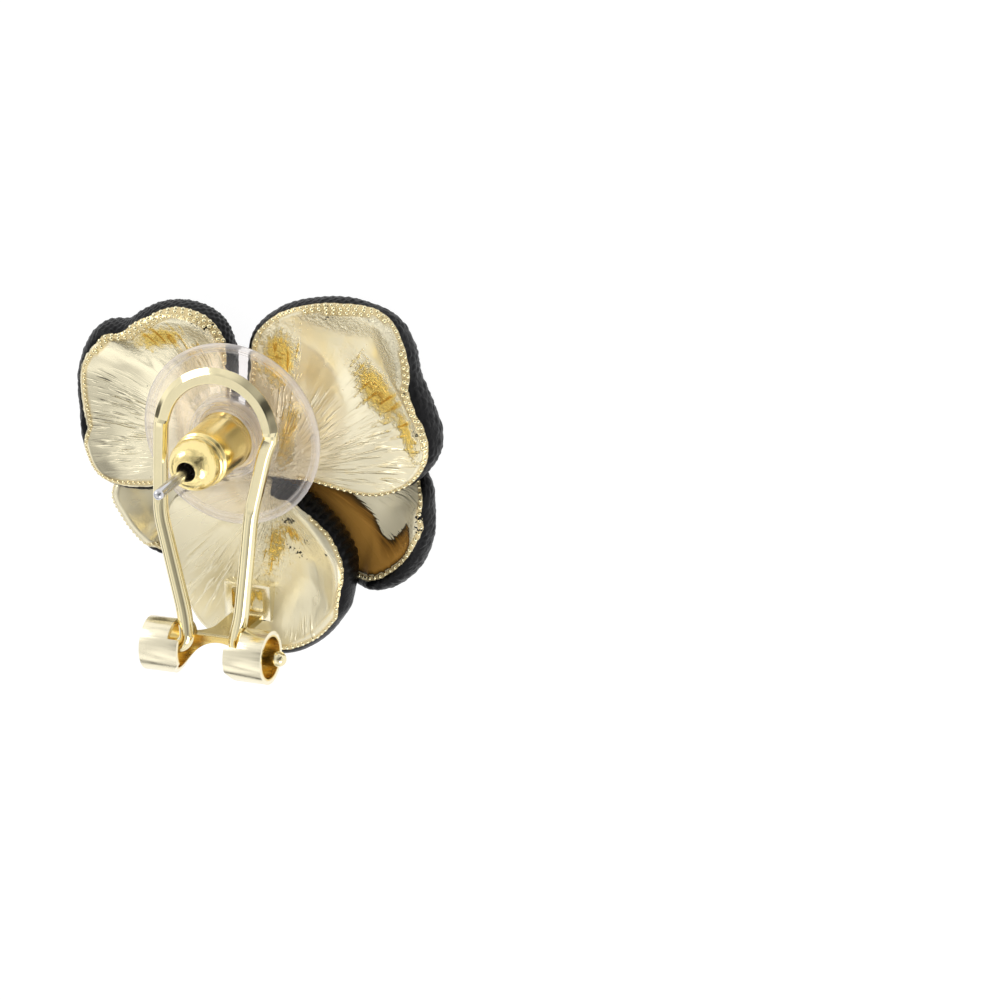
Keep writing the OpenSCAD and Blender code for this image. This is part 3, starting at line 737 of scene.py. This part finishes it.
def polishedPlating(name, color, roughness, scratches, finish=None):
    # Gold plating on stamped and polished brass: a clear mirror with faint rubbing marks
    material, tree, shader, place = startMaterial(name)
    along = addNode(tree, "VectorMath", {0: place, 1: scratches}, operation="MULTIPLY")
    rub = addNode(tree, "TexNoise", {"Vector": along, "Scale": 1, "Detail": 3})
    cloud = addNode(tree, "TexNoise", {"Vector": place, "Scale": 900, "Detail": 3})
    gloss = addNode(tree, "MapRange", {0: cloud, 1: 0.3, 2: 0.7, 3: roughness * 0.8, 4: roughness * 1.3})
    marks = addNode(tree, "Bump", {"Height": rub, "Strength": 0.3, "Distance": 0.000006})
    soft = addNode(tree, "Bump", {"Height": cloud, "Strength": 0.2, "Distance": 0.00002, "Normal": marks})
    tint = addNode(tree, "MapRange", {0: cloud, 1: 0.35, 2: 0.65, 3: 0.96, 4: 1})
    toned = addNode(tree, "Mix", {0: 1, 6: linear(color), 7: tint}, **asColor, blend_type="MULTIPLY")
    setInputs(shader, {"Base Color": toned, "Metallic": 1, "Roughness": gloss, "Normal": soft})
    if finish:
        setInputs(shader, finish(tree, place, toned, soft))
    return material


def distanceFrom(tree, place, middle, across):
    # distance in metres from an axis through middle
    moved = addNode(tree, "VectorMath", {0: place, 1: middle}, operation="SUBTRACT")
    flat = addNode(tree, "VectorMath", {0: moved, 1: across}, operation="MULTIPLY")
    return addNode(tree, "VectorMath", {0: flat}, output="Value", operation="LENGTH")


vinylLook = {
    "color": "#FFFAF8",
    "ior": 1.12,    # a soft pad hardly bends the light that passes its thin web
    "coat": 0.6,
    "reach": 0.0062,
    # share of the reach, clearness
    "rings": [(0, 0.6), (0.32, 0.6), (0.34, 0.88), (0.36, 0.65), (0.38, 0.9), (0.41, 0.62), (0.44, 0.93),
              (0.53, 0.98), (0.86, 0.98), (0.89, 0.7), (0.91, 0.92), (0.93, 0.75), (1, 0.55)],
}


def clearVinyl():
    # Clear soft vinyl: the thin web lets all light through, the thicker rim and collar are milky
    look = vinylLook
    material, tree, shader, place = startMaterial("clearMouldedVinyl")
    radius = distanceFrom(tree, place, (0, 0, 0), (1, 1, 0))
    milk = addNode(tree, "ValToRGB", {0: addNode(tree, "MapRange", {0: radius, 1: 0, 2: look["reach"]})})
    fillRamp(milk.node.color_ramp, [(spot, (clear, clear, clear, 1)) for spot, clear in look["rings"]])
    flow = addNode(tree, "TexNoise", {"Vector": place, "Scale": 400, "Detail": 2})
    gloss = addNode(tree, "MapRange", {0: flow, 1: 0.3, 2: 0.7, 3: 0.03, 4: 0.08})
    soft = addNode(tree, "Bump", {"Height": flow, "Strength": 0.3, "Distance": 0.00006})
    setInputs(shader, {"Base Color": linear(look["color"]), "IOR": look["ior"], "Coat Weight": look["coat"],
                       "Transmission Weight": milk, "Roughness": gloss, "Normal": soft})
    return material


def turned(tree, place, plated, marks):
    # Yellow gold plating on a turned barrel: its dome is slightly orange-peeled, its mouth dull and darkened
    # by painted shade
    radius = distanceFrom(tree, place, (0, 0, 0), (1, 1, 0))
    # painted shade: the mouth's hollow is coloured dark
    mouth = addNode(tree, "MapRange", {0: radius, 1: 0.00066, 2: 0.00062})
    color = addNode(tree, "Mix", {0: mouth, 6: plated, 7: linear("#3E362B")}, **asColor)
    metal = addNode(tree, "MapRange", {0: mouth, 3: 1, 4: 0.3})
    peel = addNode(tree, "TexNoise", {"Vector": place, "Scale": 4500, "Detail": 2})
    height = addNode(tree, "SeparateXYZ", {0: place}, output="Z")
    onDome = addNode(tree, "MapRange", {0: height, 1: 0.0064, 2: 0.0067})
    peeled = addNode(tree, "Bump", {"Height": peel, "Strength": onDome, "Distance": 0.00002,
                                    "Normal": marks})
    return {"Base Color": color, "Metallic": metal, "Normal": peeled}


def paintedSheetShade(tree, place, plated, marks):
    # Gold plated brass sheet, brushed lengthways: painted shade in deeper gold inside the rolls, and a
    # painted shadow in olive on the tongue
    radius = distanceFrom(tree, place, (0, -0.0129, 0.0055), (0, 1, 1))
    # painted shade: deeper gold inside the rolls
    inside = addNode(tree, "MapRange", {0: radius, 1: 0.0015, 2: 0.0014})
    height = addNode(tree, "SeparateXYZ", {0: place}, output="Z")
    above = addNode(tree, "MapRange", {0: height, 1: -0.0002, 2: 0.0001})
    below = addNode(tree, "MapRange", {0: radius, 1: 0.00172, 2: 0.0019})
    # painted shadow: olive on the tongue under the rolls
    tongue = addNode(tree, "Math", {0: above, 1: below}, operation="MULTIPLY")
    shadedTongue = addNode(tree, "Mix", {0: tongue, 6: plated, 7: linear("#C8B67C")}, **asColor)
    color = addNode(tree, "Mix", {0: inside, 6: shadedTongue, 7: linear("#E8CD84")}, **asColor)
    return {"Base Color": color}


plating = palePlating()
clipMetal = polishedPlating("polishedGoldPlatedBrass", "#F0E4BA", 0.07, (3000, 300, 300))
sheetMetal = polishedPlating("brushedGoldPlatedSheet", "#F8EFD2", 0.22, (9000, 300, 300), paintedSheetShade)
barrelMetal = polishedPlating("turnedYellowBrass", "#FDE8A4", 0.18, (200, 200, 9000), turned)
postMetal = polishedPlating("drawnStainlessSteel", "#D2D2D6", 0.14, (5000, 5000, 300))
vinyl = clearVinyl()
print("materials ready")

bead = beadMaster()
for name, petal in petals.items():
    points, normals, attributes = petalSurface(petal)
    skin = bendGrid(name, points, attributes)
    settle(skin, plating, "flower", petal["node"])
    chain = beadRows(name + "Beads", petal, points, normals, attributes["edge"], bead)
    settle(chain, clipMetal, "flower")
    print("petal", name, len(skin.data.polygons), "faces")
bpy.data.objects.remove(bead)


# The plain stud on the flower's front: radius, z
studProfile = [(0, -3.80), (0.5, -3.77), (1.0, -3.64), (1.35, -3.42), (1.5, -3.22), (1.45, -3.1),
               (0.5, -2.75), (0, -2.75)]
stud = turn("frontStud", studProfile, bevel=0.03)
stud.location = (0, -2.5, 0)
settle(stud, clipMetal, "flower", "flower_center", smoothAngle=40)

# The post: foot soldered to the petals, shaft with a shallow groove, rounded tip
postSizes = {
    "radius": 0.35, "height": 12.6,
    "footRadius": 1.6, "foot": (0.05, 0.45),
    "groove": (7.7, 8.0, 8.3), "grooveDepth": 0.08,
}


def makePost():
    p = postSizes
    r = p["radius"]
    tip = [(r * cos(radians(a)), p["height"] - r + r * sin(radians(a)))
           for a in range(0, 91, 10)]
    profile = [(0, p["foot"][0]), (p["footRadius"], p["foot"][0]), (p["footRadius"], p["foot"][1]),
               (r, p["foot"][1]), (r, p["groove"][0]), (r - p["grooveDepth"], p["groove"][1]),
               (r, p["groove"][2])] + tip
    return turn("earPost", profile, steps=64, bevel=0.04)


settle(makePost(), postMetal, "flower", "post", smoothAngle=40)

# The nut: a turned barrel with a domed cap and a countersunk mouth, in a soft clear pad
nutSizes = {
    "base": 1.2, "flange": 2.15, "flangeHeight": 0.3, "barrel": 1.8,
    "top": 8.2, "cap": 1.675, "capHeight": 1.7, "neck": 1.625,
    "mouth": 0.6, "mouthDepth": 0.9, "bore": 0.4,
}


def makeBarrel():
    n = nutSizes
    neck, cap, mouth, bore = n["neck"], n["cap"], n["mouth"], n["bore"]
    capZ = n["top"] - n["capHeight"]
    flangeZ = n["base"] + n["flangeHeight"]
    dome = [(mouth + (cap - mouth) * cos(radians(a)),
             capZ + 0.1 + (n["capHeight"] - 0.1) * sin(radians(a)) / sin(radians(88)))
            for a in range(0, 89, 4)]
    profile = [(bore, n["base"]), (n["flange"], n["base"]), (n["flange"], flangeZ),
               (n["barrel"], flangeZ), (n["barrel"], capZ - 0.55), (neck, capZ - 0.42),
               (neck, capZ - 0.3), (cap + 0.04, capZ - 0.25), (cap + 0.04, capZ - 0.1),
               (neck - 0.06, capZ - 0.02), (neck - 0.06, capZ + 0.06)]
    funnel = [(mouth, n["top"] - n["mouthDepth"] * 0.8), (mouth * 0.85, n["top"] - n["mouthDepth"]),
              (bore, n["top"] - n["mouthDepth"]), (bore, n["base"])]
    return turn("nutBarrel", profile + dome + funnel, bevel=0.03)


padSizes = {
    "radius": 6.0, "z": 0.85, "rim": 0.45, "web": 0.3,
    "collar": 2.55, "collarHeight": 1.5, "hole": 0.6,
    "fit": 0.06,    # play round the barrel
}


def makePad():
    p, n = padSizes, nutSizes
    z, radius, collar, fit = p["z"], p["radius"], p["collar"], p["fit"]
    rimZ, webZ, collarZ = z + p["rim"], z + p["web"], z + p["collarHeight"]
    flangeZ = n["base"] + n["flangeHeight"] + fit
    profile = [(p["hole"], z), (radius - 0.2, z), (radius - 0.06, z + 0.06), (radius, z + 0.2),
               (radius, rimZ - 0.12), (radius - 0.12, rimZ), (radius - 0.35, rimZ), (radius - 0.7, webZ),
               (collar + 0.7, webZ + 0.1), (collar + 0.35, z + 0.8), (collar, z + 0.85),
               (collar - 0.1, collarZ), (n["barrel"] + fit, collarZ), (n["barrel"] + fit, flangeZ),
               (n["flange"] + fit, flangeZ), (n["flange"] + fit, n["base"] - fit),
               (p["hole"], n["base"] - fit), (p["hole"], z)]
    return turn("nutPad", profile, steps=192, bevel=0.05)


settle(makeBarrel(), barrelMetal, "ear_nut", "nut_barrel", smoothAngle=35)
settle(makePad(), vinyl, "ear_nut", "nut_pad", smoothAngle=40)
print("post and nut made")

# The clip's base: one sheet, a windowed plate, a flared tongue and a curl cut into two rolls
clipSizes = {
    "hinge": (-12.9, 5.5),      # y, z
    "rollRadius": 1.7, "sheet": 0.35, "rollEnd": 4.15, "gap": 1.6,
    "plate": ((-1.55, -12.93, -1.3), (1.55, -10.6, -0.25)),
    "window": ((-1.05, -12.4, -2.0), (1.05, -10.9, 1.0)),
    "windowCorner": 0.25,
    "tongueHalf": 1.05, "tongueY": (-12.93, -12.58), "flare": 1.4,
    "notchRadius": 2.2, "notchY": -12.95,
    "mouth": (-2.30, 2.48),
    "mouthAngles": (-8 - 24, -8 + 40 + 24),     # the loop's tilt and travel, with 24 degrees to spare
    "edge": 0.045,
}


def mouthTool():
    # a sector round the hinge line, spun from one flat blade
    c = clipSizes
    y, z = c["hinge"]
    first, last = c["mouthAngles"]
    dropSelection()
    bpy.ops.mesh.primitive_plane_add(size=1)
    tool = bpy.context.object
    editAll()
    bpy.ops.transform.resize(value=(c["mouth"][1] - c["mouth"][0], 3, 1))
    bpy.ops.transform.translate(value=(sum(c["mouth"]) / 2, 1.9, 0))
    bpy.ops.mesh.spin(steps=24, angle=radians(last - first), center=(0, 0, 0), axis=(1, 0, 0))
    leaveEdit()
    closeSkin(tool)
    lowest = min(atan2(v.co.z, v.co.y) for v in tool.data.vertices)
    tool.rotation_euler = (radians(first) - lowest, 0, 0)
    tool.location = (0, y, z)
    return tool


def makeClipBase():
    c = clipSizes
    y, z = c["hinge"]
    end, r, gap = c["rollEnd"], c["rollRadius"], c["gap"]
    low, high = c["tongueY"]
    curl = rod(r, (-end, y, z), (end, y, z), vertices=256)
    carve(curl, rod(r - c["sheet"], (-end - 1, y, z), (end + 1, y, z), vertices=256))
    carve(curl, mouthTool())
    carve(curl, block((-gap, y - 3, z - r + 0.5), (gap, y + 3, z + r + 1)))
    carve(curl, block((-gap, high, z - r - 1), (gap, high + 4, z - r + 2)))
    notchMiddle = c["notchY"] - c["notchRadius"]
    carve(curl, rod(c["notchRadius"], (0, notchMiddle, -2), (0, notchMiddle, 14), vertices=192))

    topZ = z - r + 0.15
    flareZ = topZ - 0.4 - c["flare"]
    tongue = block((-end + 0.2, low, -0.4), (end - 0.2, high, topZ))
    for side in (-1, 1):
        flareX = side * (c["tongueHalf"] + c["flare"])
        carve(tongue, rod(c["flare"], (flareX, low - 1, flareZ), (flareX, high + 1, flareZ), vertices=160))
        for inner, cutZ in ((side * c["tongueHalf"], flareZ), (flareX, flareZ + c["flare"])):
            left, right = sorted((inner, side * 6))
            carve(tongue, block((left, low - 1, -2), (right, high + 1, cutZ)))

    plate = block(*c["plate"])
    window = block(*c["window"])
    pick(window)
    bpy.ops.object.transform_apply(location=False, rotation=False)
    soften(window, c["windowCorner"], segments=8)
    carve(plate, window)
    carve(curl, tongue, "UNION")
    carve(curl, plate, "UNION")
    soften(curl, c["edge"], angle=35)
    curl.name = "clipBase"
    return curl


settle(makeClipBase(), sheetMetal, "flower", "clip_base", smoothAngle=35)
print("clip base made")

# The clip's loop, drawn flat with the hinge line along X: distance from the hinge, x of the leg
loopSizes = {
    "radius": 0.48, "footRadius": 0.49, "bend": 0.8, "feet": (-3.85, 5.2), "arch": 3.75, "archAt": 13.87,
    "left": [(0.8, -1.60), (2.2, -1.82), (8.4, -3.62), (11.6, -3.72), (13.87, -3.75)],
    "right": [(0.8, 1.70), (2.2, 2.05), (5.5, 2.30), (9.0, 2.54), (13.3, 3.44), (13.87, 3.75)],
    "flatAt": 14.3, "flatRun": 0.15, "flatDepth": 0.26, "flatWidening": 1.08,
    "chamferFrom": 0.1, "chamferSlope": 0.62,
    "facet": (8.8, 14.2, 0.09),  # from, to and depth of the rubbed facet on the legs
    "tilt": -8,
    "sides": 40,
}


def loopPath():
    p = loopSizes

    def leg(table, v):
        near = v + np.linspace(-0.6, 0.6, 25)
        return float(np.mean(np.interp(near, *zip(*table))))

    def half(table, side, footEnd):
        bendEnd = table[0][1] + side * p["bend"]
        start = [(x, 0) for x in np.linspace(footEnd - side * p["footRadius"], bendEnd, 14)]
        bend = [(bendEnd - side * p["bend"] * sin(a), p["bend"] * (1 - cos(a)))
                for a in np.linspace(0, pi / 2, 12)[1:-1]]
        straight = [(leg(table, v), v) for v in np.arange(p["bend"], p["archAt"], 0.2)]
        return start + bend + straight

    arch = [(p["arch"] * cos(a), p["archAt"] + p["arch"] * sin(a))
            for a in np.linspace(pi, 0, 64)]
    path = np.array(half(p["left"], -1, p["feet"][0]) + arch + half(p["right"], 1, p["feet"][1])[::-1])
    for _ in range(2):  # takes the last corners out of the bends
        path[1:-1] = path[1:-1] * 0.5 + (path[:-2] + path[2:]) * 0.25
    return path


def makeLoop():
    p = loopSizes
    path = loopPath()
    way = np.gradient(path, axis=0)
    way /= np.linalg.norm(way, axis=1, keepdims=True)
    side = np.stack([-way[:, 1], way[:, 0]], axis=1)
    angles = np.radians(np.linspace(0, 360, p["sides"] + 1))
    rings = []

    def ring(centre, across, radius, flat, facet):
        wide = 1 + (p["flatWidening"] - 1) * flat
        top = radius - p["flatDepth"] * flat - facet * (1 - flat)
        out = radius * wide * np.cos(angles)
        chamfer = top - np.maximum(out - p["chamferFrom"], 0) * p["chamferSlope"] * flat
        up = np.minimum(np.minimum(top, chamfer), radius * np.sin(angles))
        return np.stack([centre[0] + out * across[0], centre[1] + out * across[1], up], axis=1)

    def capRings(centre, along, across, outward):
        found = []
        for a in np.linspace(0, pi / 2, 9)[1:]:
            spot = centre + along * outward * p["footRadius"] * sin(a)
            found.append(ring(spot, across, p["footRadius"] * cos(a), 0, 0))
        return found

    for spot, across in zip(path, side):
        v = spot[1]
        flat = float(smoothStep(p["flatAt"], p["flatAt"] + p["flatRun"], v))
        first, last, depth = p["facet"]
        facet = depth * float(smoothStep(first, first + 0.8, v) * (1 - smoothStep(last, last + 0.1, v)))
        radius = p["footRadius"] if v < 0.02 else p["radius"]
        rings.append(ring(spot, across, radius, flat, facet))
    rings = capRings(path[0], way[0], side[0], -1)[::-1] + rings + capRings(path[-1], way[-1], side[-1], 1)
    loop = bendGrid("clipLoop", np.array(rings))
    loop.rotation_euler = (radians(p["tilt"]), 0, 0)
    loop.location = (0, *clipSizes["hinge"])
    return loop


settle(makeLoop(), clipMetal, "loop", "clip_loop", smoothAngle=24)
print("clip loop made")

# A pale floor and a soft light tent
floorHeight = -3.94


def makeFloor():
    dropSelection()
    bpy.ops.mesh.primitive_plane_add(size=4, location=(0, 0, floorHeight * millimetre))
    floor = bpy.context.object
    floor.name = "paleFloor"
    bpy.ops.object.transform_apply()
    material, tree, shader, place = startMaterial("whitePaper")
    fibre = addNode(tree, "TexNoise", {"Vector": place, "Scale": 2500, "Detail": 3})
    paper = addNode(tree, "MapRange", {0: fibre, 3: 0.1, 4: 0.13})
    setInputs(shader, {"Base Color": paper, "Roughness": 0.9, "Specular IOR Level": 0.1,
                       "Emission Color": (1, 1, 1, 1), "Emission Strength": 0.96})
    floor.data.materials.append(material)


lights = {
    # name: place in metres, size, power in watts
    "softKey": ((-0.33, 0.28, 0.18), 0.20, 0.4),
    "softFill": ((0.30, -0.20, 0.30), 0.25, 0.6),
}

tent = {
    # brightness at a share of the way from opposite the camera (0) to behind it (1)
    "tones": [(0, 0.5), (0.27, 0.7), (0.31, 0.12), (0.36, 0.12), (0.4, 0.95), (0.56, 1.05), (0.6, 0.6),
              (0.64, 1.05), (0.7, 1), (0.85, 0.75), (0.95, 0.45), (1, 0.4)],
    "strength": 1.1,
    # a dark slit runs from the camera down to the floor: sines of its half width, its depth
    "slitInner": 0.07, "slitOuter": 0.2, "slitLow": 0.15, "slitHigh": 0.4, "slitDepth": 0.8,
}


def lightTent():
    for name, (place, size, power) in lights.items():
        dropSelection()
        bpy.ops.object.light_add(type="AREA", location=place)
        lamp = bpy.context.object
        lamp.name = name
        lamp.data.size = size
        lamp.data.energy = power
        lamp.rotation_euler = Vector(place).to_track_quat("Z", "Y").to_euler()
    world = bpy.context.scene.world or bpy.data.worlds.new("tent")
    bpy.context.scene.world = world
    world.use_nodes = True
    tree = world.node_tree
    tree.nodes.clear()
    way = addNode(tree, "TexCoord", output="Generated")
    away = Vector(view["right"]).cross(Vector(view["up"])).normalized()
    facing = addNode(tree, "VectorMath", {0: way, 1: away}, output="Value", operation="DOT_PRODUCT")
    band = addNode(tree, "ValToRGB", {0: addNode(tree, "MapRange", {0: facing, 1: -1, 2: 1})})
    band.node.color_ramp.interpolation = "EASE"
    fillRamp(band.node.color_ramp, [(spot, (tone, tone, tone, 1)) for spot, tone in tent["tones"]])
    folds = addNode(tree, "TexNoise", {"Vector": way, "Scale": 2.2, "Detail": 1})
    shade = addNode(tree, "MapRange", {0: folds, 1: 0.35, 2: 0.62, 3: 0.6, 4: 1.15})
    tone = addNode(tree, "Mix", {0: 1, 6: band, 7: shade}, **asColor, blend_type="MULTIPLY")

    toSlit = Vector((away.x, away.y, 0)).normalized()
    beside = Vector((-toSlit.y, toSlit.x, 0))
    off = addNode(tree, "VectorMath", {0: way, 1: beside}, output="Value", operation="DOT_PRODUCT")
    off = addNode(tree, "Math", {0: off}, operation="ABSOLUTE")
    within = addNode(tree, "MapRange", {0: off, 1: tent["slitOuter"], 2: tent["slitInner"],
                                        4: tent["slitDepth"]})
    ahead = addNode(tree, "VectorMath", {0: way, 1: toSlit}, output="Value", operation="DOT_PRODUCT")
    ahead = addNode(tree, "MapRange", {0: ahead, 1: tent["slitLow"], 2: tent["slitHigh"]})
    dark = addNode(tree, "Math", {0: within, 1: ahead}, operation="MULTIPLY")
    tone = addNode(tree, "Mix", {0: dark, 6: tone, 7: (0, 0, 0, 1)}, **asColor)
    glow = addNode(tree, "Background", {0: tone, 1: tent["strength"]})
    addNode(tree, "OutputWorld", {0: glow})


makeFloor()
lightTent()
bpy.context.scene.view_settings.view_transform = "Standard"
print("floor and light set")
